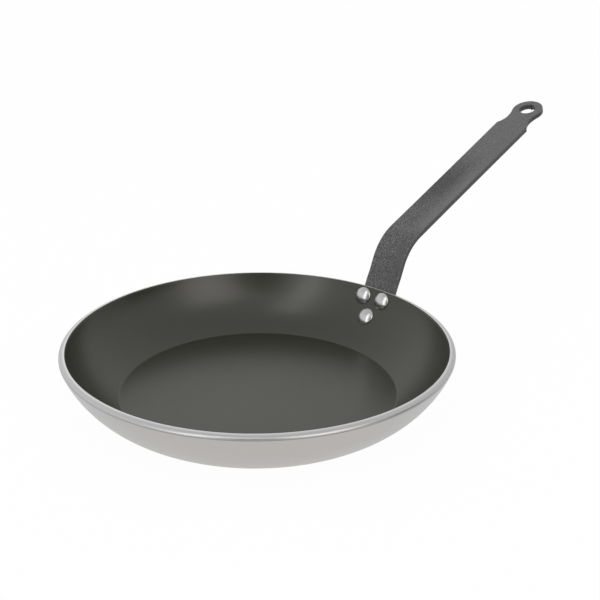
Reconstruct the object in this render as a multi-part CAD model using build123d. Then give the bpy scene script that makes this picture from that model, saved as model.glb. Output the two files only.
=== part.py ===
from build123d import *
import math
import os

# Omelette pan: a pressed aluminium body with a non-stick lining, and a flat steel handle
# held by three solid rivets. Lengths are in millimetres and angles in degrees.
# The origin is the centre of the underside, +Z is up and the handle runs along +X.

# Pan body
rim_inner_radius = 135.6  # inner edge of the rim
wall_flare = 35.5  # how far the wall leans out between the floor and the rim
pan_height = 44.25  # from the underside to the inner edge of the rim
sheet_thickness = 5.1  # pressed disc, alike in floor and wall
wall_turn = 45.5  # how much the slope of the wall grows from the floor to the rim
crease_fillet = 4.0  # inside, where the floor turns into the wall
base_fillet = 5.0  # outside, round the flat base
rim_outer_rounding = 1.5  # outer corner of the cut rim
rim_inner_bevel = 0.25  # inner corner of the cut rim, left bare of the lining

# Non-stick lining
lining_thickness = 0.3

# Handle strip
strip_width = 28.7
strip_thickness = 4.8
riser_leaves_wall = 5.05  # below the rim, along the outside of the wall
riser_cupped_length = 9.0  # part of the riser that still follows the round of the pan
riser_flattening = 10.0  # next stretch, over which the strip turns flat
riser_length = 27.3  # from the wall to the bend
bend_radius = 36.4  # on the underside of the strip
grip_slope = 21.2
grip_length = 189.3  # from the bend to the centre of the eye
grip_end_width = 29.9  # at the shoulders: the strip widens towards them
eye_radius = 13.5
hanging_hole_radius = 6.8
neck_width = 21.9
neck_setback = 15.0  # from the centre of the eye back to the narrowest place
shoulder_curve_radius = 19.1
strip_edge_rounding = 0.7
pad_corner_radius = 11.0  # lower end of the strip, under the pan's wall
pad_beyond_rivet = 10.5

# Rivets
rivet_from_strip_edge = 5.15  # from the centre of an upper rivet to the strip's side
upper_rivets_below_rim = 8.3  # along the inside of the wall
rivet_row_distance = 15.5
shank_radius = 3.0
head_radius = 6.8
head_skirt = 0.8  # upright edge of the inside head
head_height = 3.1
tail_radius = 4.7  # head formed on the outside of the strip
tail_height = 1.8

# Cutting tools run past what they cut by this much.
overrun = 2.0

# Wall curve: concentric arcs in the r-z plane, placed by their slope from the horizontal.
floor_radius = rim_inner_radius - wall_flare
wall_rise = pan_height - sheet_thickness
rim_slope = math.degrees(math.atan2(wall_rise, wall_flare)) + wall_turn / 2
floor_slope = rim_slope - wall_turn
inner_wall_curve = math.hypot(wall_rise, wall_flare) / (2 * math.sin(math.radians(wall_turn / 2)))
outer_wall_curve = inner_wall_curve + sheet_thickness
curve_centre_r = rim_inner_radius - inner_wall_curve * math.sin(math.radians(rim_slope))
curve_centre_z = pan_height + inner_wall_curve * math.cos(math.radians(rim_slope))
base_slope = math.degrees(math.acos(curve_centre_z / outer_wall_curve))

# Slopes of the wall where the handle leaves it, where the rivets sit and where the pad ends.
riser_slope = rim_slope - math.degrees(riser_leaves_wall / outer_wall_curve)
upper_rivet_slope = rim_slope - math.degrees(upper_rivets_below_rim / inner_wall_curve)
lower_rivet_slope = upper_rivet_slope - math.degrees(rivet_row_distance / inner_wall_curve)
pad_end_slope = lower_rivet_slope - math.degrees(pad_beyond_rivet / outer_wall_curve)

rivet_spacing = strip_width - 2 * rivet_from_strip_edge  # between the two upper rivets


def wall_point(curve, slope):
    """Point (r, z) of the wall on the arc of the given radius, where it has the given slope."""
    angle = math.radians(slope)
    return (curve_centre_r + curve * math.sin(angle), curve_centre_z - curve * math.cos(angle))


def wall_arc(curve, start_slope, end_slope):
    """Arc of the wall between two slopes, as an edge in the r-z plane."""
    middle = (start_slope + end_slope) / 2
    return ThreePointArc(
        wall_point(curve, start_slope), wall_point(curve, middle), wall_point(curve, end_slope)
    )


def revolved(outline):
    """Full turn of a closed r-z outline about the pan's axis."""
    return revolve(Plane.XZ * make_face(outline), Axis.Z)


def nearest(vertices, point):
    """The vertex that lies closest to a point (r, z)."""
    return min(vertices, key=lambda v: math.hypot(v.X - point[0], v.Y - point[1]))


def body_blank():
    """Pressed pan without rivet holes: flat base, one wall arc, rim cut square to the wall."""
    base_corner = wall_point(outer_wall_curve, base_slope)
    rim_outer = wall_point(outer_wall_curve, rim_slope)
    rim_inner = wall_point(inner_wall_curve, rim_slope)
    crease = wall_point(inner_wall_curve, floor_slope)
    outline = [
        Line((0, 0), base_corner),
        wall_arc(outer_wall_curve, base_slope, rim_slope),
        Line(rim_outer, rim_inner),
        wall_arc(inner_wall_curve, rim_slope, floor_slope),
        Line(crease, (0, sheet_thickness)),
        Line((0, sheet_thickness), (0, 0)),
    ]
    section = make_face(outline)
    section = fillet(nearest(section.vertices(), base_corner), base_fillet)
    section = fillet(nearest(section.vertices(), crease), crease_fillet)
    section = fillet(nearest(section.vertices(), rim_outer), rim_outer_rounding)
    section = chamfer(nearest(section.vertices(), rim_inner), rim_inner_bevel)
    return revolve(Plane.XZ * section, Axis.Z)


def lining_blank():
    """Lining without rivet holes: it covers the inside up to the bevel of the rim."""
    lining_curve = inner_wall_curve - lining_thickness
    lining_floor = sheet_thickness + lining_thickness
    lining_floor_slope = math.degrees(math.acos((curve_centre_z - lining_floor) / lining_curve))
    top_slope = rim_slope - math.degrees(rim_inner_bevel / inner_wall_curve)
    crease = wall_point(inner_wall_curve, floor_slope)
    lining_crease = wall_point(lining_curve, lining_floor_slope)
    outline = [
        Line((0, sheet_thickness), crease),
        wall_arc(inner_wall_curve, floor_slope, top_slope),
        Line(wall_point(inner_wall_curve, top_slope), wall_point(lining_curve, top_slope)),
        wall_arc(lining_curve, top_slope, lining_floor_slope),
        Line(lining_crease, (0, lining_floor)),
        Line((0, lining_floor), (0, sheet_thickness)),
    ]
    section = make_face(outline)
    section = fillet(nearest(section.vertices(), crease), crease_fillet)
    section = fillet(nearest(section.vertices(), lining_crease), crease_fillet - lining_thickness)
    return revolve(Plane.XZ * section, Axis.Z)


def along(start, slope, distance, offset):
    """Point (r, z) beyond start along a slope, moved outwards and down by offset."""
    angle = math.radians(slope)
    return (
        start[0] + distance * math.cos(angle) + offset * math.sin(angle),
        start[1] + distance * math.sin(angle) - offset * math.cos(angle),
    )


def strip_frame(start, slope, distance):
    """Plane across the strip, square to it: local X is its width, local Y its outward normal."""
    place = along(start, slope, distance, 0)
    angle = math.radians(slope)
    return Plane(
        origin=(place[0], 0, place[1]),
        x_dir=(0, 1, 0),
        z_dir=(-math.cos(angle), 0, -math.sin(angle)),
    )


def cupped_foot():
    """Lower end of the strip: it lies on the wall, follows the round of the pan and
    carries on up the riser as far as riser_cupped_length."""
    leaving = wall_point(outer_wall_curve, riser_slope)
    back_curve = outer_wall_curve + strip_thickness
    top_front = along(leaving, riser_slope, riser_cupped_length + overrun, 0)
    top_back = along(leaving, riser_slope, riser_cupped_length + overrun, strip_thickness)
    outline = [
        wall_arc(outer_wall_curve, pad_end_slope, riser_slope),
        Line(leaving, top_front),
        Line(top_front, top_back),
        Line(top_back, wall_point(back_curve, riser_slope)),
        wall_arc(back_curve, riser_slope, pad_end_slope),
        Line(wall_point(back_curve, pad_end_slope), wall_point(outer_wall_curve, pad_end_slope)),
    ]
    ring = revolved(outline)
    pad_end = wall_point(outer_wall_curve, pad_end_slope)
    angle = math.radians(pad_end_slope)
    below = Plane(
        origin=(pad_end[0], 0, pad_end[1]),
        x_dir=(math.cos(angle), 0, math.sin(angle)),
        z_dir=(math.sin(angle), 0, -math.cos(angle)),
    )
    reach = outer_wall_curve + riser_length
    trim = Pos(reach / 2, 0) * Rectangle(reach, strip_width)
    trim = fillet(trim.vertices().sort_by(Axis.X)[:2], pad_corner_radius)
    foot = ring & extrude(below * trim, reach, both=True)
    across = strip_frame(leaving, riser_slope, riser_cupped_length)
    return split(foot, bisect_by=across, keep=Keep.TOP)


def flat_section(distance):
    """Cross-section of the flat strip on the riser, at a distance above the wall."""
    leaving = wall_point(outer_wall_curve, riser_slope)
    frame = strip_frame(leaving, riser_slope, distance)
    return frame * (Pos(0, strip_thickness / 2) * Rectangle(strip_width, strip_thickness))


def bent_strip():
    """Flat strip from the riser and round the bend, up to the start of the grip."""
    leaving = wall_point(outer_wall_curve, riser_slope)
    flat_from = riser_cupped_length + riser_flattening
    face_start = along(leaving, riser_slope, flat_from, 0)
    face_bend = along(leaving, riser_slope, riser_length, 0)
    bend_centre = along(leaving, riser_slope, riser_length, strip_thickness + bend_radius)
    face_curve = strip_thickness + bend_radius

    def on_bend(curve, slope):
        angle = math.radians(slope)
        return (bend_centre[0] - curve * math.sin(angle), bend_centre[1] + curve * math.cos(angle))

    middle_slope = (riser_slope + grip_slope) / 2
    grip_start = on_bend(face_curve, grip_slope)
    outline = [
        Line(face_start, face_bend),
        ThreePointArc(face_bend, on_bend(face_curve, middle_slope), grip_start),
        Line(grip_start, on_bend(bend_radius, grip_slope)),
        ThreePointArc(
            on_bend(bend_radius, grip_slope),
            on_bend(bend_radius, middle_slope),
            on_bend(bend_radius, riser_slope),
        ),
        Line(
            on_bend(bend_radius, riser_slope),
            along(leaving, riser_slope, flat_from, strip_thickness),
        ),
        Line(along(leaving, riser_slope, flat_from, strip_thickness), face_start),
    ]
    return extrude(Plane.XZ * make_face(outline), strip_width / 2, both=True)


def neck_curve_radius():
    """Radius of the neck's arc on the eye's side: it touches the eye and the narrowest line."""
    half = neck_width / 2
    return (neck_setback**2 + half**2 - eye_radius**2) / (2 * (eye_radius - half))


def shoulder_distance():
    """Distance from the bend to the shoulders, where the shoulder curve meets the strip's edge."""
    step = (grip_end_width - neck_width) / 2
    reach = math.sqrt(2 * shoulder_curve_radius * step - step**2)
    return grip_length - neck_setback - reach


def grip_plane():
    """Plane on the upper face of the grip: local X runs along it from the end of the bend."""
    leaving = wall_point(outer_wall_curve, riser_slope)
    centre = along(leaving, riser_slope, riser_length, strip_thickness + bend_radius)
    start = along(centre, grip_slope, 0, -(strip_thickness + bend_radius))
    angle = math.radians(grip_slope)
    return Plane(
        origin=(start[0], 0, start[1]),
        x_dir=(math.cos(angle), 0, math.sin(angle)),
        z_dir=(-math.sin(angle), 0, math.cos(angle)),
    )


def grip_plate():
    """Strip beyond the bend: widening grip, waisted neck, round eye and hanging hole."""
    shoulder = shoulder_distance()
    neck = grip_length - neck_setback
    curve = neck_curve_radius()
    half = neck_width / 2
    join_angle = math.atan2(neck_setback, half + curve)
    join = (neck + curve * math.sin(join_angle), half + curve * (1 - math.cos(join_angle)))
    half_join = join_angle / 2
    middle = (neck + curve * math.sin(half_join), half + curve * (1 - math.cos(half_join)))
    shoulder_angle = math.asin((neck - shoulder) / shoulder_curve_radius) / 2
    shoulder_middle = (
        neck - shoulder_curve_radius * math.sin(shoulder_angle),
        half + shoulder_curve_radius * (1 - math.cos(shoulder_angle)),
    )
    widening = (grip_end_width - strip_width) / 2
    grip_middle = (shoulder / 2, strip_width / 2 + widening / 4)
    shoulder_corner = (shoulder, grip_end_width / 2)
    edge = [
        ThreePointArc((0, strip_width / 2), grip_middle, shoulder_corner),
        ThreePointArc(shoulder_corner, shoulder_middle, (neck, half)),
        ThreePointArc((neck, half), middle, join),
    ]
    other_edge = [line.mirror(Plane.XZ) for line in edge]
    outline = edge + other_edge
    outline.append(ThreePointArc(join, (grip_length + eye_radius, 0), (join[0], -join[1])))
    outline.append(Line((0, strip_width / 2), (0, -strip_width / 2)))
    plate = make_face(outline) - Pos(grip_length, 0) * Circle(hanging_hole_radius)
    return extrude(grip_plane() * plate, -strip_thickness)


def handle_blank():
    """Whole strip without rivet holes."""
    foot = cupped_foot()
    leaving = wall_point(outer_wall_curve, riser_slope)
    cut = strip_frame(leaving, riser_slope, riser_cupped_length)
    foot_end = min(foot.faces(), key=lambda f: abs(cut.to_local_coords(f.center()).Z))
    flat_from = riser_cupped_length + riser_flattening
    flattening = loft([foot_end, flat_section(flat_from).face()])
    strip = foot + flattening + bent_strip() + grip_plate()
    return fillet(strip.edges(), strip_edge_rounding)


def rivet_frame(slope, side):
    """Plane on the inside of the wall at a rivet: local Z points into the pan.
    side is -1, 0 or 1 for the place across the strip."""
    place = wall_point(inner_wall_curve, slope)
    turn = math.degrees(math.asin(side * rivet_spacing / 2 / place[0]))
    angle = math.radians(slope)
    frame = Plane(
        origin=(place[0], 0, place[1]),
        x_dir=(0, 1, 0),
        z_dir=(-math.sin(angle), 0, math.cos(angle)),
    )
    return Rot(0, 0, turn) * frame.location


def domed_disc(radius, skirt, height):
    """Low head on the local XY plane: an upright skirt under a spherical dome. It reaches
    below the plane by the overrun, to be cut back to what it sits on."""
    rise = height - skirt
    dome_radius = (radius**2 + rise**2) / (2 * rise)
    shoulder_angle = math.asin(radius / dome_radius) / 2
    dome_middle = (
        dome_radius * math.sin(shoulder_angle),
        height - dome_radius * (1 - math.cos(shoulder_angle)),
    )
    outline = [
        Line((0, -overrun), (radius, -overrun)),
        Line((radius, -overrun), (radius, skirt)),
        ThreePointArc((radius, skirt), dome_middle, (0, height)),
        Line((0, height), (0, -overrun)),
    ]
    return revolve(Plane.XZ * make_face(outline), Axis.Z)


def shank():
    """Rivet shank, through the lining, the wall and the strip, and into both heads."""
    depth = sheet_thickness + strip_thickness
    length = depth + lining_thickness + head_skirt
    return Pos(0, 0, -depth) * extrude(Circle(shank_radius), length)


def drill():
    """The hole for one shank."""
    depth = sheet_thickness + strip_thickness + overrun
    return Pos(0, 0, -depth) * extrude(Circle(shank_radius), depth + lining_thickness + overrun)


def rivet(place, pan, lining, handle):
    """One solid rivet: domed head on the lining, shank, and formed tail on the strip's back."""
    head = Pos(0, 0, lining_thickness) * domed_disc(head_radius, head_skirt, head_height)
    back = sheet_thickness + strip_thickness
    tail = Pos(0, 0, -back) * (Rot(180, 0, 0) * domed_disc(tail_radius, 0, tail_height))
    seated_head = place * head - lining - pan
    seated_tail = place * tail - handle - pan
    return seated_head + place * shank() + seated_tail


def assembly():
    """Every piece by the name of its node."""
    pan = body_blank()
    lining = lining_blank()
    handle = handle_blank()
    places = {
        "rivet_upper_left": rivet_frame(upper_rivet_slope, 1),
        "rivet_upper_right": rivet_frame(upper_rivet_slope, -1),
        "rivet_lower": rivet_frame(lower_rivet_slope, 0),
    }
    pieces = {name: rivet(place, pan, lining, handle) for name, place in places.items()}
    for place in places.values():
        pan -= place * drill()
        lining -= place * drill()
        handle -= place * drill()
    pieces["pan_body"] = pan
    pieces["nonstick_lining"] = lining
    pieces["handle"] = handle
    return pieces


os.makedirs("parts", exist_ok=True)
for name, piece in assembly().items():
    export_step(piece, f"parts/{name}.step")
    print(f"{name}: {piece.volume / 1000:.1f} cm3")
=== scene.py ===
import math
import bmesh
import bpy
from mathutils import Matrix, Vector


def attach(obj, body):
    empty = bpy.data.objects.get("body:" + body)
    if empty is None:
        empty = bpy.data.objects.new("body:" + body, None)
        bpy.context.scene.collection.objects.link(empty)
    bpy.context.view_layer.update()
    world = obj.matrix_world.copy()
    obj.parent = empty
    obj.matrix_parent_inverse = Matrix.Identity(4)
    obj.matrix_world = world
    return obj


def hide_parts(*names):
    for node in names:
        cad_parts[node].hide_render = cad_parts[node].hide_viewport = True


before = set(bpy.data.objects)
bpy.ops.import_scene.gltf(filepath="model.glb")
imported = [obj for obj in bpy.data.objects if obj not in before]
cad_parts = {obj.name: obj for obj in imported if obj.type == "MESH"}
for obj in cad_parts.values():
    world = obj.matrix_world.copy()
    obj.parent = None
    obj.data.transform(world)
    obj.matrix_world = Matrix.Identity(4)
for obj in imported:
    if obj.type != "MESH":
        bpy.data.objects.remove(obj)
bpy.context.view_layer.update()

# Omelette pan: spun aluminium body, non-stick lining, flat strip handle and three rivets.
# Sizes in the dictionaries are millimetres and degrees; finished meshes are scaled to metres.
# Scales and lines of the patterns are per metre.
mm = 0.001
weldGap = 0.0005


# Camera

camera = {
    "distance": 795.3,  # to the point it aims at
    "elevation": 22.28,
    "handleTurn": 48.73,  # the handle's direction, anticlockwise from the camera's right
    "aimRight": 29.51,  # from the pan's axis
    "aimHeight": 75.53,
    "roll": 0.444,
    "lens": 68.07,
    "sensor": 36.0,
}


def cameraDirections():
    # level directions to the camera's right and away from it, in the pan's frame
    turn = math.radians(camera["handleTurn"])
    right = Vector((math.cos(turn), -math.sin(turn), 0))
    away = Vector((math.sin(turn), math.cos(turn), 0))
    return right, away


def facing(turn):
    # level direction from the pan, turned from the camera's own towards its right
    right, away = cameraDirections()
    return right * math.sin(math.radians(turn)) - away * math.cos(math.radians(turn))


def makeCamera():
    right, away = cameraDirections()
    tilt = math.radians(camera["elevation"])
    roll = math.radians(camera["roll"])
    ahead = away * math.cos(tilt) - Vector((0, 0, math.sin(tilt)))
    up = right.cross(ahead)
    rolledRight = right * math.cos(roll) + up * math.sin(roll)
    rolledUp = up * math.cos(roll) - right * math.sin(roll)
    aim = right * camera["aimRight"] + Vector((0, 0, camera["aimHeight"]))
    place = (aim - ahead * camera["distance"]) * mm
    data = bpy.data.cameras.new("camera")
    data.lens = camera["lens"]
    data.sensor_width = camera["sensor"]
    seen = bpy.data.objects.new("camera", data)
    bpy.context.scene.collection.objects.link(seen)
    seen.matrix_world = Matrix.Translation(place) @ Matrix(
        (rolledRight, rolledUp, -ahead)
    ).transposed().to_4x4()
    bpy.context.scene.camera = seen


makeCamera()
print("camera placed")


# Shader maths

class Wire:
    # the value of one socket; arithmetic on it adds Math nodes
    def __init__(self, finish, socket):
        self.finish = finish
        self.socket = socket

    def maths(self, operation, *values):
        return self.finish.node("Math", {"operation": operation}, dict(enumerate(values)))

    def __add__(self, other):
        return self.maths("ADD", self, other)

    def __radd__(self, other):
        return self.maths("ADD", other, self)

    def __sub__(self, other):
        return self.maths("SUBTRACT", self, other)

    def __rsub__(self, other):
        return self.maths("SUBTRACT", other, self)

    def __mul__(self, other):
        return self.maths("MULTIPLY", self, other)

    def __rmul__(self, other):
        return self.maths("MULTIPLY", other, self)

    def __truediv__(self, other):
        return self.maths("DIVIDE", self, other)

    def __rtruediv__(self, other):
        return self.maths("DIVIDE", other, self)

    def __pow__(self, other):
        return self.maths("POWER", self, other)

    def __rpow__(self, other):
        return self.maths("POWER", other, self)

    def larger(self, other):
        return self.maths("MAXIMUM", self, other)

    def rise(self, low, high):
        # smooth step from 0 at low to 1 at high
        return self.finish.node(
            "MapRange",
            {"interpolation_type": "SMOOTHSTEP"},
            {"Value": self, "From Min": low, "From Max": high},
        )

    def between(self, low, high):
        # the same between two places in millimetres
        return self.rise(low * mm, high * mm)


class Finish:
    # the nodes of one material or world
    def __init__(self, owner):
        self.owner = owner
        owner.use_nodes = True
        self.tree = owner.node_tree
        self.tree.nodes.clear()

    def node(self, kind, settings, inputs, output=0):
        made = self.tree.nodes.new("ShaderNode" + kind)
        for name, value in settings.items():
            setattr(made, name, value)
        for name, value in inputs.items():
            if isinstance(value, Wire):
                self.tree.links.new(value.socket, made.inputs[name])
            else:
                made.inputs[name].default_value = value
        return Wire(self, made.outputs[output]) if made.outputs else None

    def place(self):
        # object coordinates, which are metres in the pan's frame
        return self.node("TexCoord", {}, {}, "Object")

    def axes(self, vector):
        parts = self.node("SeparateXYZ", {}, {"Vector": vector})
        outputs = parts.socket.node.outputs
        return [Wire(self, outputs[i]) for i in range(3)]

    def vector(self, x, y, z):
        return self.node("CombineXYZ", {}, {"X": x, "Y": y, "Z": z})

    def noise(self, vector, scale, detail=2.0):
        return self.node("TexNoise", {}, {"Vector": vector, "Scale": scale, "Detail": detail})

    def mix(self, share, first, second):
        return self.node("Mix", {"data_type": "RGBA"}, {0: share, 6: first, 7: second}, 2)

    def bump(self, height, depth, strength):
        return self.node(
            "Bump", {}, {"Height": height, "Distance": depth * mm, "Strength": strength}
        )

    def surface(self, inputs):
        shader = self.node("BsdfPrincipled", {}, inputs)
        self.node("OutputMaterial", {}, {"Surface": shader})
        return self.owner

    def rays(self):
        # whether the camera looks at it, and whether the camera, metal or glass does
        outputs = self.node("LightPath", {}, {}).socket.node.outputs
        direct = Wire(self, outputs["Is Camera Ray"])
        mirrored = Wire(self, outputs["Is Glossy Ray"])
        through = Wire(self, outputs["Is Transmission Ray"])
        return direct, direct.larger(mirrored).larger(through)

    def lathe(self, turns, lines, detail=2.0):
        # streaks that run round the pan's axis, as many across a metre as lines says
        x, y, z = self.axes(self.place())
        radius = (x * x + y * y) ** 0.5
        streak = self.vector(x / radius * turns, y / radius * turns, (radius + z) * lines)
        return self.noise(streak, 1.0, detail)


def newMaterial(name):
    return Finish(bpy.data.materials.new(name))


def grey(level, warmth=0.0):
    # linear grey, a little warmer or cooler
    return (level * (1 + warmth), level, level * (1 - warmth), 1)


# Meshes

class Outline:
    # a chain of straight runs and arcs in the X-Z plane, drawn from its last point on
    def __init__(self, x, z):
        self.bm = bmesh.new()
        self.last = self.bm.verts.new((x, 0, z))
        self.first = self.last

    def line(self, x, z):
        made = bmesh.ops.extrude_vert_indiv(self.bm, verts=[self.last])
        self.last = made["verts"][0]
        self.last.co = (x, 0, z)

    def arc(self, centre, turn, steps):
        # anticlockwise if turn is positive, in radians
        made = bmesh.ops.spin(
            self.bm,
            geom=[self.last],
            cent=(centre[0], 0, centre[1]),
            axis=(0, -1, 0),
            angle=turn,
            steps=steps,
        )
        self.last = made["geom_last"][0]

    def close(self):
        self.bm.edges.new((self.last, self.first))

    def revolve(self, steps):
        bmesh.ops.spin(
            self.bm,
            geom=self.bm.verts[:] + self.bm.edges[:],
            cent=(0, 0, 0),
            axis=(0, 0, 1),
            angle=math.tau,
            steps=steps,
            use_merge=True,
        )
        return self.bm


def everything(bm):
    return bm.verts[:] + bm.edges[:] + bm.faces[:]


def makePiece(bm, name, material, node):
    bmesh.ops.remove_doubles(bm, verts=bm.verts, dist=weldGap)
    bmesh.ops.recalc_face_normals(bm, faces=bm.faces)
    bmesh.ops.scale(bm, vec=(mm, mm, mm), verts=bm.verts)
    mesh = bpy.data.meshes.new(name)
    bm.to_mesh(mesh)
    bm.free()
    mesh.shade_smooth()
    mesh.materials.append(material)
    piece = bpy.data.objects.new(name, mesh)
    bpy.context.scene.collection.objects.link(piece)
    even = piece.modifiers.new("evenNormals", "WEIGHTED_NORMAL")
    even.keep_sharp = True
    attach(piece, "root")
    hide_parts(node)
    print(name, len(mesh.polygons), "faces")


# Pan body and lining

pan = {
    "rimInnerRadius": 135.6,
    "wallFlare": 35.5,  # how far the wall leans out between the floor and the rim
    "height": 44.25,  # to the inner edge of the rim
    "sheet": 5.1,
    "wallTurn": 45.5,  # how much the wall's slope grows from the floor to the rim
    "creaseFillet": 4.0,
    "baseFillet": 5.0,
    "rimRounding": 2.2,
    "rimBevel": 0.25,
    "lining": 0.3,
    "roundSteps": 288,
    "wallSteps": 30,
    "filletSteps": 8,
}

wallRise = pan["height"] - pan["sheet"]
wallTurn = math.radians(pan["wallTurn"])
rimSlope = math.atan2(wallRise, pan["wallFlare"]) + wallTurn / 2
innerCurve = math.hypot(wallRise, pan["wallFlare"]) / (2 * math.sin(wallTurn / 2))
outerCurve = innerCurve + pan["sheet"]
curveR = pan["rimInnerRadius"] - innerCurve * math.sin(rimSlope)
curveZ = pan["height"] + innerCurve * math.cos(rimSlope)


def wallPoint(curve, slope):
    # point of the wall, as radius and height, where an arc about the curve's centre has that slope
    return curveR + curve * math.sin(slope), curveZ - curve * math.cos(slope)


def floorFillet(curve, radius, floor):
    # centre of a fillet between a level and the wall's arc, and the slope where it meets the arc
    reach = curve - radius
    height = floor + radius
    run = math.sqrt(reach**2 - (curveZ - height) ** 2)
    return (curveR + run, height), math.asin(run / reach)


def bodyOutline():
    baseCentre, baseSlope = floorFillet(outerCurve, pan["baseFillet"], 0)
    creaseCentre, creaseSlope = floorFillet(innerCurve, pan["creaseFillet"], pan["sheet"])
    rounding = pan["rimRounding"]
    roundingTurn = math.asin(rounding / (outerCurve - rounding))
    roundingSlope = rimSlope - roundingTurn
    bevelSlope = rimSlope - pan["rimBevel"] / innerCurve
    curveCentre = (curveR, curveZ)
    outline = Outline(0, 0)
    outline.line(baseCentre[0], 0)
    outline.arc(baseCentre, baseSlope, pan["filletSteps"])
    outline.arc(curveCentre, roundingSlope - baseSlope, pan["wallSteps"])
    outline.arc(
        wallPoint(outerCurve - rounding, roundingSlope),
        math.pi / 2 + roundingTurn,
        pan["filletSteps"],
    )
    outline.line(*wallPoint(innerCurve + pan["rimBevel"], rimSlope))
    outline.line(*wallPoint(innerCurve, bevelSlope))
    outline.arc(curveCentre, creaseSlope - bevelSlope, pan["wallSteps"])
    outline.arc(creaseCentre, -creaseSlope, pan["filletSteps"])
    outline.line(0, pan["sheet"])
    return outline


def liningOutline():
    creaseCentre, creaseSlope = floorFillet(innerCurve, pan["creaseFillet"], pan["sheet"])
    topSlope = rimSlope - pan["rimBevel"] / innerCurve
    skin = innerCurve - pan["lining"]
    curveCentre = (curveR, curveZ)
    floor = pan["sheet"] + pan["lining"]
    outline = Outline(0, pan["sheet"])
    outline.line(creaseCentre[0], pan["sheet"])
    outline.arc(creaseCentre, creaseSlope, pan["filletSteps"])
    outline.arc(curveCentre, topSlope - creaseSlope, pan["wallSteps"])
    outline.line(*wallPoint(skin, topSlope))
    outline.arc(curveCentre, creaseSlope - topSlope, pan["wallSteps"])
    outline.arc(creaseCentre, -creaseSlope, pan["filletSteps"])
    outline.line(0, floor)
    return outline


metal = {
    "tone": 0.485,
    "tintShare": 0.012,  # how much warmer or cooler its patches are
    "streakGain": 1.06,  # times the tone, in the lighter streaks
    "litSide": 221.27,  # direction of the wall's lit side, where a painted highlight makes it a little lighter and warmer, anticlockwise from the handle's
    "litGain": 1.03,  # times the tone, on that side, a painted highlight which is even, without streaks of tone
    # how much warmer that painted highlight is
    "warmth": 0.035,
    "litRise": (0.6, 0.95),  # cosines of the turn from that direction between which these come in
    "roughness": 0.30,
    "rimRoughness": 0.36,
    "streakRoughness": 0.12,
    "streakTurns": 5.0,
    "streakLines": 2600.0,
    "streakDetail": 3.0,
    "streakDepth": 0.02,
    "streakStrength": 0.6,
    "mottleScale": 26.0,
    "anisotropic": 0.3,
    "lipShare": 0.4,  # how dark the painted shade line is where the rim's rounding meets the wall
    "roundingShare": 0.17,  # and the painted shade on the rounding itself
    "besideShare": 0.5,  # what is left of both painted shades away from the lit side
    "cutTone": 0.9,
    "cutShare": 0.5,  # how much of that tone the cut edge beside the lining takes: lighter machined metal, partly a painted highlight
}

# depths below the rim's inner edge between which each band of the rim comes in or ends
rimBands = {
    "rim": (3.65, 2.85),
    "lip": (3.45, 3.15),
    "lipEnd": (2.95, 2.65),
    "rounding": (3.05, 2.75),
    "roundingEnd": (2.25, 0.85),
    "cut": (0.75, 0.15),
}


def aluminium():
    finish = newMaterial("spunAluminium")
    streaks = finish.lathe(metal["streakTurns"], metal["streakLines"], metal["streakDetail"])
    mottle = finish.noise(finish.place(), metal["mottleScale"])
    warmer = grey(metal["tone"], metal["tintShare"])
    cooler = grey(metal["tone"], -metal["tintShare"])
    tint = finish.mix(mottle, warmer, cooler)
    spun = finish.mix(streaks, tint, grey(metal["tone"] * metal["streakGain"]))
    x, y, z = finish.axes(finish.place())
    # mask of the wall's lit side, which carries painted highlight and painted shade
    side = math.radians(metal["litSide"])
    cosine = (x * math.cos(side) + y * math.sin(side)) / (x * x + y * y) ** 0.5
    litSideMask = cosine.rise(*metal["litRise"])
    bands = {
        name: z.between(pan["height"] - start, pan["height"] - full)
        for name, (start, full) in rimBands.items()
    }
    # painted highlight: on the lit side the wall takes a lighter, warmer and even tone
    litTone = grey(metal["tone"] * metal["litGain"], metal["warmth"])
    wall = finish.mix(litSideMask * (1 - bands["rim"]), spun, litTone)
    # painted shade: a dark line where the rim's rounding meets the wall, and a darker rounding, both
    # strongest on the lit side
    lip = bands["lip"] * (1 - bands["lipEnd"])
    rounding = bands["rounding"] * (1 - bands["roundingEnd"])
    shade = lip * metal["lipShare"] + rounding * metal["roundingShare"]
    fading = litSideMask * (1 - metal["besideShare"]) + metal["besideShare"]
    shaded = finish.mix(shade * fading, wall, grey(0.0))
    roughness = (
        metal["roughness"]
        + (streaks - 0.5) * metal["streakRoughness"]
        + bands["rim"] * (metal["rimRoughness"] - metal["roughness"])
    )
    # the cut edge beside the lining is lighter machined metal with a painted highlight
    return finish.surface(
        {
            "Base Color": finish.mix(bands["cut"] * metal["cutShare"], shaded, grey(metal["cutTone"])),
            "Metallic": 1.0,
            "Roughness": roughness,
            "Anisotropic": metal["anisotropic"],
            "Normal": finish.bump(streaks, metal["streakDepth"], metal["streakStrength"]),
        }
    )


coat = {
    "tone": (0.0155, 0.0165, 0.0075),
    "spreadShare": 0.18,  # how much lighter or darker it gets in clouds and bands
    "bandShare": 0.6,  # of that, what the bands round the axis have
    "bandTurns": 0.5,
    "bandLines": 110.0,
    "cloudScale": 18.0,
    "cloudRoughness": 0.06,
    "roughness": 0.31,
    "ringTurns": 1.5,
    "ringLines": 420.0,
    "ringDetail": 3.0,
    "ringRoughness": 0.05,
    "ior": 1.59,
    "grainScale": 2400.0,
    "grainDepth": 0.02,
    "grainStrength": 0.5,
}


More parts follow.
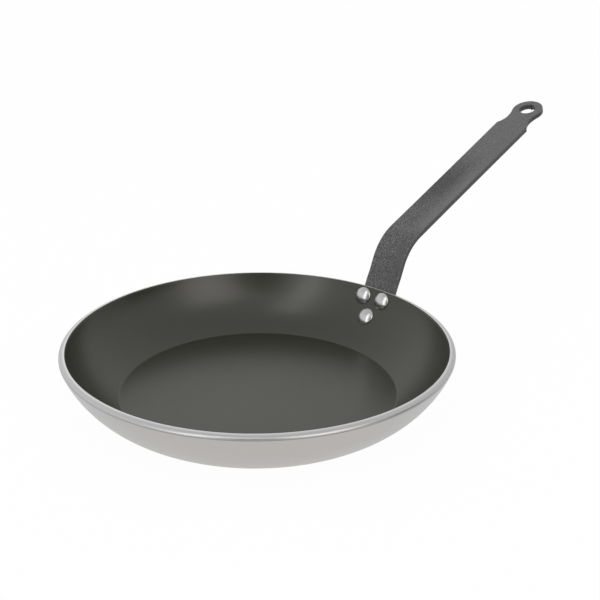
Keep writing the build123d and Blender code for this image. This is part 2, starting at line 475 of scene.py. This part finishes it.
def nonstick():
    finish = newMaterial("nonstick")
    grain = finish.noise(finish.place(), coat["grainScale"])
    rings = finish.lathe(coat["ringTurns"], coat["ringLines"], coat["ringDetail"])
    bands = finish.lathe(coat["bandTurns"], coat["bandLines"])
    cloud = finish.noise(finish.place(), coat["cloudScale"])
    dark = (*[level * (1 - coat["spreadShare"]) for level in coat["tone"]], 1)
    light = (*[level * (1 + coat["spreadShare"]) for level in coat["tone"]], 1)
    share = cloud * (1 - coat["bandShare"]) + bands * coat["bandShare"]
    roughness = (
        coat["roughness"]
        + (cloud - 0.5) * coat["cloudRoughness"]
        + (rings - 0.5) * coat["ringRoughness"]
    )
    return finish.surface(
        {
            "Base Color": finish.mix(share, dark, light),
            "Roughness": roughness,
            "IOR": coat["ior"],
            "Normal": finish.bump(grain, coat["grainDepth"], coat["grainStrength"]),
        }
    )


# Strip handle

strip = {
    "width": 28.7,
    "thickness": 4.8,
    "leavesWall": 5.05,  # below the rim, along the outside of the wall
    "cuppedLength": 9.0,
    "flattening": 10.0,
    "riserLength": 27.3,
    "bendRadius": 36.4,  # on the underside
    "gripSlope": 21.2,
    "gripLength": 189.3,  # from the bend to the centre of the eye
    "gripEndWidth": 29.9,  # at the shoulders: the grip widens towards them
    "eyeRadius": 13.5,
    "holeRadius": 6.8,
    "neckWidth": 21.9,
    "neckSetback": 15.0,
    "shoulderCurve": 19.1,
    "edgeRounding": 0.7,
    "cornerAngle": 25,  # edges that turn more are rounded
    "upperFacing": 0.9,  # a face whose normal has this much of Z is the upper one
    "cornerFacing": 0.2,  # and from here up to that, its rounded edge
    "padCorner": 11.0,
    "padBeyondRivet": 10.5,
    "curvedCut": 1.8,  # spacing of the cuts that let the strip bend
    "lengthwiseCuts": 6,
    "arcSteps": 14,
    "gripSteps": 24,
    "roundingSteps": 3,
}

rivet = {
    "spacing": 18.4,  # between the two upper ones
    "belowRim": 8.3,  # along the inside of the wall
    "rowDistance": 15.5,
    "shankRadius": 3.0,
    "headRadius": 6.8,
    "skirt": 0.8,
    "headHeight": 3.1,
    "tailRadius": 4.7,
    "tailHeight": 1.8,
    "sunk": 0.5,  # how far the head runs into the lining, whose wall is curved
    "roundSteps": 64,
    "domeSteps": 12,
    "edgeRounding": 0.25,
    "edgeSteps": 3,
}

riserSlope = rimSlope - strip["leavesWall"] / outerCurve
upperRivetSlope = rimSlope - rivet["belowRim"] / innerCurve
lowerRivetSlope = upperRivetSlope - rivet["rowDistance"] / innerCurve
padSlope = lowerRivetSlope - strip["padBeyondRivet"] / outerCurve
gripSlope = math.radians(strip["gripSlope"])
faceBend = strip["bendRadius"] + strip["thickness"]

padLength = outerCurve * (riserSlope - padSlope)
bendStart = padLength + strip["riserLength"]
gripStart = bendStart + faceBend * (riserSlope - gripSlope)
eyeAt = gripStart + strip["gripLength"]


def beyond(start, slope, distance, depth):
    # point past start along a slope, moved outwards and down by a depth in the strip
    return (
        start[0] + distance * math.cos(slope) + depth * math.sin(slope),
        start[1] + distance * math.sin(slope) - depth * math.cos(slope),
    )


leavingPoint = wallPoint(outerCurve, riserSlope)
bendCentre = beyond(leavingPoint, riserSlope, strip["riserLength"], faceBend)
gripPoint = beyond(bendCentre, gripSlope, 0, -faceBend)


def sidePlace(along, depth):
    # radius and height of a point of the strip, from its place along the upper face
    if along < padLength:
        return wallPoint(outerCurve + depth, padSlope + along / outerCurve)
    if along < bendStart:
        return beyond(leavingPoint, riserSlope, along - padLength, depth)
    if along < gripStart:
        slope = riserSlope - (along - bendStart) / faceBend
        return beyond(bendCentre, slope, 0, depth - faceBend)
    return beyond(gripPoint, gripSlope, along - gripStart, depth)


def formedPlace(flat):
    # where a point of the flat strip goes when its foot is cupped to the pan and it is bent
    radius, height = sidePlace(flat.x, -flat.z)
    past = (flat.x - padLength - strip["cuppedLength"]) / strip["flattening"]
    past = min(max(past, 0), 1)
    cupped = 1 - past * past * (3 - 2 * past)
    drawnIn = radius - math.sqrt(radius**2 - flat.y**2)
    return Vector((radius - cupped * drawnIn, flat.y, height))


def halfPlate():
    # half of the flat strip, from its lower end at X 0 to the tip of the eye
    half = strip["width"] / 2
    neck = strip["neckWidth"] / 2
    neckAt = eyeAt - strip["neckSetback"]
    corner = strip["padCorner"]
    endHalf = strip["gripEndWidth"] / 2
    step = endHalf - neck
    shoulderTurn = math.acos(1 - step / strip["shoulderCurve"])
    neckCurve = (strip["neckSetback"] ** 2 + neck**2 - strip["eyeRadius"] ** 2) / (
        2 * (strip["eyeRadius"] - neck)
    )
    joinTurn = math.atan2(strip["neckSetback"], neck + neckCurve)
    eyeTurn = math.pi / 2 + joinTurn
    shoulderAt = neckAt - strip["shoulderCurve"] * math.sin(shoulderTurn)
    outline = Outline(0, 0)
    outline.line(0, half - corner)
    outline.arc((corner, half - corner), -math.pi / 2, strip["arcSteps"])
    outline.line(gripStart, half)
    grip = shoulderAt - gripStart
    widening = endHalf - half
    gripCurve = (grip**2 + widening**2) / (2 * widening)
    outline.arc((gripStart, half + gripCurve), math.asin(grip / gripCurve), strip["gripSteps"])
    outline.arc((neckAt, neck + strip["shoulderCurve"]), shoulderTurn, strip["arcSteps"])
    outline.arc((neckAt, neck + neckCurve), joinTurn, strip["arcSteps"])
    outline.arc((eyeAt, 0), -eyeTurn, 2 * strip["arcSteps"])
    outline.line(eyeAt + strip["holeRadius"], 0)
    outline.arc((eyeAt, 0), math.pi, 2 * strip["arcSteps"])
    outline.close()
    bm = outline.bm
    bmesh.ops.rotate(bm, verts=bm.verts, cent=(0, 0, 0), matrix=Matrix.Rotation(-math.pi / 2, 3, "X"))
    bmesh.ops.contextual_create(bm, geom=bm.edges[:])
    return bm


def cutAcross(bm, start, end, spacing):
    count = math.ceil((end - start) / spacing)
    for i in range(1, count + 1):
        place = start + (end - start) * i / count
        bmesh.ops.bisect_plane(
            bm, geom=everything(bm), dist=weldGap, plane_co=(place, 0, 0), plane_no=(1, 0, 0)
        )


def stripMesh():
    bm = halfPlate()
    cuppedEnd = padLength + strip["cuppedLength"] + strip["flattening"]
    cutAcross(bm, 0, cuppedEnd, strip["curvedCut"])
    cutAcross(bm, bendStart - strip["curvedCut"], gripStart, strip["curvedCut"])
    for i in range(1, strip["lengthwiseCuts"]):
        foot = [f for f in bm.faces if f.calc_center_median().x < cuppedEnd]
        edges = {e for f in foot for e in f.edges}
        verts = {v for f in foot for v in f.verts}
        place = strip["width"] / 2 * i / strip["lengthwiseCuts"]
        bmesh.ops.bisect_plane(
            bm,
            geom=foot + list(edges) + list(verts),
            dist=weldGap,
            plane_co=(0, place, 0),
            plane_no=(0, 1, 0),
        )
    bmesh.ops.mirror(bm, geom=everything(bm), axis="Y", merge_dist=weldGap)
    made = bmesh.ops.extrude_face_region(bm, geom=bm.faces[:])
    lower = [v for v in made["geom"] if isinstance(v, bmesh.types.BMVert)]
    bmesh.ops.translate(bm, verts=lower, vec=(0, 0, -strip["thickness"]))
    bmesh.ops.recalc_face_normals(bm, faces=bm.faces)
    turned = math.radians(strip["cornerAngle"])
    corners = [e for e in bm.edges if e.is_manifold and e.calc_face_angle() > turned]
    bmesh.ops.bevel(
        bm,
        geom=corners,
        offset=strip["edgeRounding"],
        offset_type="OFFSET",
        segments=strip["roundingSteps"],
        profile=0.5,
        affect="EDGES",
        clamp_overlap=False,
        material=-1,
    )
    bm.normal_update()
    upper = bm.faces.layers.float.new("upper")  # 1 on the upper face, read by the coating
    corner = bm.faces.layers.float.new("corner")  # 1 on its rounded edge
    for face in bm.faces:
        rise = face.normal.z
        face[upper] = 1.0 if rise > strip["upperFacing"] else 0.0
        face[corner] = 1.0 if strip["cornerFacing"] < rise < strip["upperFacing"] else 0.0
    for vert in bm.verts:
        vert.co = formedPlace(vert.co)
    return bm


paint = {
    "tone": 0.1,
    "riserShare": 0.84,  # of the tone, on the riser and the bend, a painted shade
    "riserFallShare": 0.16,  # how much less of it these have at the right, painted shade
    "leftShare": 0.8,  # on the two sides of the grip: painted shade on the left, painted highlight on the right
    "rightShare": 1.15,
    "middleFallShare": 0.42,  # how much less the left side has from the grip's middle on, painted shade
    # painted highlight towards the grip's end
    "endShare": 0.96,
    "edgeShare": 0.3,  # painted shade on the sides and the underside
    "cornerHighlightShare": 0.8,  # painted highlight added on the rounded edge
    "cornerHighlightLeftShare": 0.2,  # of that painted highlight, what the left side has
    "gripRise": (160, 185),  # along the handle, where the riser's painted level and wear pass into the grip's
    "middleRise": (185, 235),
    "endRise": (235, 285),
    "rightRise": (-3, 13),  # across it, from the middle to the right
    "grainScale": 1450.0,
    "grainDetail": 1.0,
    "grainRise": (0.42, 0.7),  # levels of the noise between which a light dot rises
    "grainMean": 0.3,
    "grainContrast": 2.0,
    "grainDepth": 0.12,
    "grainStrength": 0.5,
    "wornEndShare": 0.7,  # how smooth the end is, and the riser's right side
    "wornRiserShare": 0.4,
    "wornToneShare": 0.75,  # how much of the dots' tone and depth wear takes away
    "wornDepthShare": 0.85,
    "wornRoughness": 0.05,
    "roughness": 0.46,
    "patchScale": 60.0,
    "patchRoughness": 0.1,
}


def handleCoating():
    # speckled coat, worn smoother on the right of the grip and towards its end; painted highlight
    # makes it lighter there and on its rounded edge, and painted shade darkens the left of the grip,
    # the riser and the bend, and the sides and underside
    finish = newMaterial("texturedCoating")
    x, y = finish.axes(finish.place())[:2]
    grip = x.between(*paint["gripRise"])
    middle = x.between(*paint["middleRise"])
    end = x.between(*paint["endRise"])
    side = (0 - y).between(*paint["rightRise"])
    upper = finish.node("Attribute", {"attribute_name": "upper"}, {}, "Fac")
    corner = finish.node("Attribute", {"attribute_name": "corner"}, {}, "Fac")
    worn = (grip * side.larger(end * paint["wornEndShare"])).larger(side * paint["wornRiserShare"])
    grain = finish.noise(finish.place(), paint["grainScale"], paint["grainDetail"])
    dots = grain.rise(*paint["grainRise"])
    kept = 1 - worn * paint["wornToneShare"]
    speckle = (dots - paint["grainMean"]) * kept * paint["grainContrast"] + 1
    # painted light by place: shade on the left of the grip, on the riser and the bend and at the
    # riser's right, highlight on the right of the grip and towards its end
    left = paint["leftShare"] - middle * paint["middleFallShare"]
    across = left + side * (paint["rightShare"] - left)
    onGrip = across + end * (paint["endShare"] - across)
    onRiser = paint["riserShare"] - side * paint["riserFallShare"]
    onTop = onRiser + grip * (onGrip - onRiser)
    # painted shade on the sides and the underside
    plain = upper * (onTop - paint["edgeShare"]) + paint["edgeShare"]
    # painted highlight on the rounded edge, strongest on the right
    edgeHighlight = corner * (paint["cornerHighlightLeftShare"] + side * (1 - paint["cornerHighlightLeftShare"]))
    level = (plain + edgeHighlight * paint["cornerHighlightShare"]) * speckle * paint["tone"]
    patches = finish.noise(finish.place(), paint["patchScale"])
    roughness = (
        paint["roughness"]
        - worn * paint["wornRoughness"]
        + (patches - 0.5) * paint["patchRoughness"]
    )
    height = dots * (1 - worn * paint["wornDepthShare"])
    return finish.surface(
        {
            "Base Color": finish.mix(level, grey(0.0), grey(1.0)),
            "Roughness": roughness,
            "Normal": finish.bump(height, paint["grainDepth"], paint["grainStrength"]),
        }
    )


# Rivets

def rivetOutline():
    rise = rivet["headHeight"] - rivet["skirt"]
    dome = (rivet["headRadius"] ** 2 + rise**2) / (2 * rise)
    tailDome = (rivet["tailRadius"] ** 2 + rivet["tailHeight"] ** 2) / (2 * rivet["tailHeight"])
    top = pan["lining"] + rivet["headHeight"]
    depth = pan["sheet"] + strip["thickness"]
    outline = Outline(0, top)
    outline.arc((0, top - dome), -math.asin(rivet["headRadius"] / dome), rivet["domeSteps"])
    outline.line(rivet["headRadius"], -rivet["sunk"])
    outline.line(rivet["shankRadius"], -rivet["sunk"])
    outline.line(rivet["shankRadius"], -depth)
    outline.line(rivet["tailRadius"], -depth)
    tailTurn = math.asin(rivet["tailRadius"] / tailDome)
    outline.arc((0, tailDome - depth - rivet["tailHeight"]), -tailTurn, rivet["domeSteps"])
    return outline


def rivetPlace(slope, side):
    # frame on the inside of the wall: its Z points into the pan
    radius, height = wallPoint(innerCurve, slope)
    turn = math.asin(side * rivet["spacing"] / 2 / radius)
    outwards = Vector((math.cos(slope), 0, math.sin(slope)))
    inwards = Vector((-math.sin(slope), 0, math.cos(slope)))
    across = inwards.cross(outwards)
    seated = Matrix((outwards, across, inwards)).transposed().to_4x4()
    return Matrix.Rotation(turn, 4, "Z") @ Matrix.Translation((radius, 0, height)) @ seated


def rivetMesh(slope, side):
    bm = rivetOutline().revolve(rivet["roundSteps"])
    bmesh.ops.remove_doubles(bm, verts=bm.verts, dist=weldGap)
    shoulder = pan["lining"] + rivet["skirt"]
    rim = [e for e in bm.edges if all(abs(v.co.z - shoulder) < weldGap for v in e.verts)]
    bmesh.ops.bevel(
        bm,
        geom=rim,
        offset=rivet["edgeRounding"],
        offset_type="OFFSET",
        segments=rivet["edgeSteps"],
        profile=0.5,
        affect="EDGES",
        clamp_overlap=True,
        material=-1,
    )
    bmesh.ops.transform(bm, verts=bm.verts, matrix=rivetPlace(slope, side))
    return bm


brushed = {
    "darkTone": 0.44,
    "lightTone": 0.52,
    "roughness": 0.24,
    "roughnessSpread": 0.12,
    "scale": 700.0,
    "detail": 3.0,
    "depth": 0.04,
    "strength": 0.3,
}


def rivetMetal():
    finish = newMaterial("rivetAluminium")
    grain = finish.noise(finish.place(), brushed["scale"], brushed["detail"])
    return finish.surface(
        {
            "Base Color": finish.mix(grain, grey(brushed["darkTone"]), grey(brushed["lightTone"])),
            "Metallic": 1.0,
            "Roughness": brushed["roughness"] + (grain - 0.5) * brushed["roughnessSpread"],
            "Normal": finish.bump(grain, brushed["depth"], brushed["strength"]),
        }
    )


panMetal = aluminium()
makePiece(bodyOutline().revolve(pan["roundSteps"]), "panBody", panMetal, "pan_body")
makePiece(
    liningOutline().revolve(pan["roundSteps"]), "lining", nonstick(), "nonstick_lining"
)
makePiece(stripMesh(), "stripHandle", handleCoating(), "handle")
rivetFinish = rivetMetal()
rivetPlaces = {
    "rivet_upper_left": (upperRivetSlope, 1),
    "rivet_upper_right": (upperRivetSlope, -1),
    "rivet_lower": (lowerRivetSlope, 0),
}
for node, (slope, side) in rivetPlaces.items():
    makePiece(rivetMesh(slope, side), node + "_formed", rivetFinish, node)
print("pan assembled")


# Floor, world and lamps

studio = {
    "floorTone": 0.9,
    "floorSpreadShare": 0.02,
    "floorScale": 3.0,
    "floorSize": 12.0,  # in metres
    "floorSeenShare": 0.97,  # how much of the floor is plain white as the camera sees it
    "floorMirroredShare": 0.62,  # and as metal does
    "cardSpreadShare": 0.2,
    "cardScale": 40.0,
    "worldLevel": 0.72,  # on what isn't seen directly or mirrored
    "lowLeft": 1.06,  # what metal mirrors of the room at the camera's left, near the floor
    "lowRight": 0.86,
    "sideRise": (-0.5, 0.5),  # how far aside, as a sine, one passes into the other
    "overheadLevel": 0.8,
    "lowRise": 25.0,  # elevations between which the low levels pass into the one overhead
    "overheadRise": 80.0,
}

# turned from the camera's own direction towards its right; distances and sizes in metres
lamps = {
    "softboxRight": {
        "turn": 38,
        "rise": 32,
        "away": 1.7,
        "size": (0.95, 1.5),
        "level": 1.6,
        "colour": (1.0, 0.95, 0.9),
    },
    "softboxLeft": {
        "turn": -35,
        "rise": 38,
        "away": 1.7,
        "size": (0.3, 2.2),
        "level": 2.8,
        "colour": (1.0, 1.0, 1.0),
    },
}

cards = {
    "cardRight": {"turn": 75, "away": 1.05, "width": 0.9, "height": 0.45, "tone": 0.16},
    "cardFront": {"turn": 0, "away": 1.2, "width": 0.7, "height": 1.25, "tone": 0.35},
}


def makeStage(bm, name, material):
    mesh = bpy.data.meshes.new(name)
    bm.to_mesh(mesh)
    bm.free()
    mesh.materials.append(material)
    made = bpy.data.objects.new(name, mesh)
    bpy.context.scene.collection.objects.link(made)
    return made


def makeFloor():
    finish = newMaterial("paleFloor")
    cloud = finish.noise(finish.place(), studio["floorScale"])
    lighter = studio["floorTone"] * (1 + studio["floorSpreadShare"])
    tone = finish.mix(cloud, grey(studio["floorTone"]), grey(lighter))
    matte = finish.node("BsdfDiffuse", {}, {"Color": tone})
    direct, seen = finish.rays()
    white = finish.node("Emission", {}, {"Color": (1, 1, 1, 1), "Strength": 1.0})
    mirrored = (seen - direct) * studio["floorMirroredShare"]
    share = direct * studio["floorSeenShare"] + mirrored
    both = finish.node("MixShader", {}, {0: share, 1: matte, 2: white})
    finish.node("OutputMaterial", {}, {"Surface": both})
    bm = bmesh.new()
    bmesh.ops.create_grid(bm, x_segments=2, y_segments=2, size=studio["floorSize"] / 2)
    makeStage(bm, "floor", finish.owner)


def makeCards():
    # stand round the pan, unseen by the camera, and darken what metal and the lining mirror
    up = Vector((0, 0, 1))
    for name, card in cards.items():
        finish = newMaterial(name)
        weave = finish.noise(finish.place(), studio["cardScale"])
        lighter = card["tone"] * (1 + studio["cardSpreadShare"])
        tone = finish.mix(weave, grey(card["tone"]), grey(lighter))
        finish.surface({"Base Color": tone, "Roughness": 1.0})
        bm = bmesh.new()
        bmesh.ops.create_grid(bm, x_segments=1, y_segments=1, size=0.5)
        bmesh.ops.scale(bm, vec=(card["width"], card["height"], 1), verts=bm.verts)
        direction = facing(card["turn"])
        centre = direction * card["away"] + up * (card["height"] / 2)
        turned = Matrix((up.cross(direction), up, direction)).transposed().to_4x4()
        bmesh.ops.transform(bm, verts=bm.verts, matrix=Matrix.Translation(centre) @ turned)
        makeStage(bm, name, finish.owner).visible_camera = False


def makeWorld():
    world = bpy.data.worlds.new("studio")
    bpy.context.scene.world = world
    finish = Finish(world)
    x, y, height = finish.axes(finish.node("TexCoord", {}, {}, "Generated"))
    sideways = facing(90)
    aside = (x * sideways.x + y * sideways.y).rise(*studio["sideRise"])
    overhead = height.rise(
        math.sin(math.radians(studio["lowRise"])), math.sin(math.radians(studio["overheadRise"]))
    )
    levels = [studio[name] for name in ("worldLevel", "lowLeft", "lowRight", "overheadLevel")]
    soft, left, right, above, white = [
        finish.node("Background", {}, {"Color": (1, 1, 1, 1), "Strength": level})
        for level in levels + [1.0]
    ]
    direct, seen = finish.rays()
    low = finish.node("MixShader", {}, {0: aside, 1: left, 2: right})
    mirrored = finish.node("MixShader", {}, {0: overhead, 1: low, 2: above})
    indirect = finish.node("MixShader", {}, {0: seen, 1: soft, 2: mirrored})
    room = finish.node("MixShader", {}, {0: direct, 1: indirect, 2: white})
    finish.node("OutputWorld", {}, {"Surface": room})


def makeLamps():
    aim = Vector((0, 0, pan["height"] * mm))
    for name, lamp in lamps.items():
        rise = math.radians(lamp["rise"])
        direction = facing(lamp["turn"]) * math.cos(rise) + Vector((0, 0, math.sin(rise)))
        data = bpy.data.lights.new(name, "AREA")
        data.shape = "RECTANGLE"
        data.size, data.size_y = lamp["size"]
        data.color = lamp["colour"]
        data.energy = lamp["level"] * math.pi * data.size * data.size_y
        made = bpy.data.objects.new(name, data)
        bpy.context.scene.collection.objects.link(made)
        made.location = aim + direction * lamp["away"]
        made.rotation_euler = direction.to_track_quat("Z", "Y").to_euler()


makeFloor()
makeCards()
makeWorld()
makeLamps()
bpy.context.scene.view_settings.view_transform = "Standard"
print("studio lit")
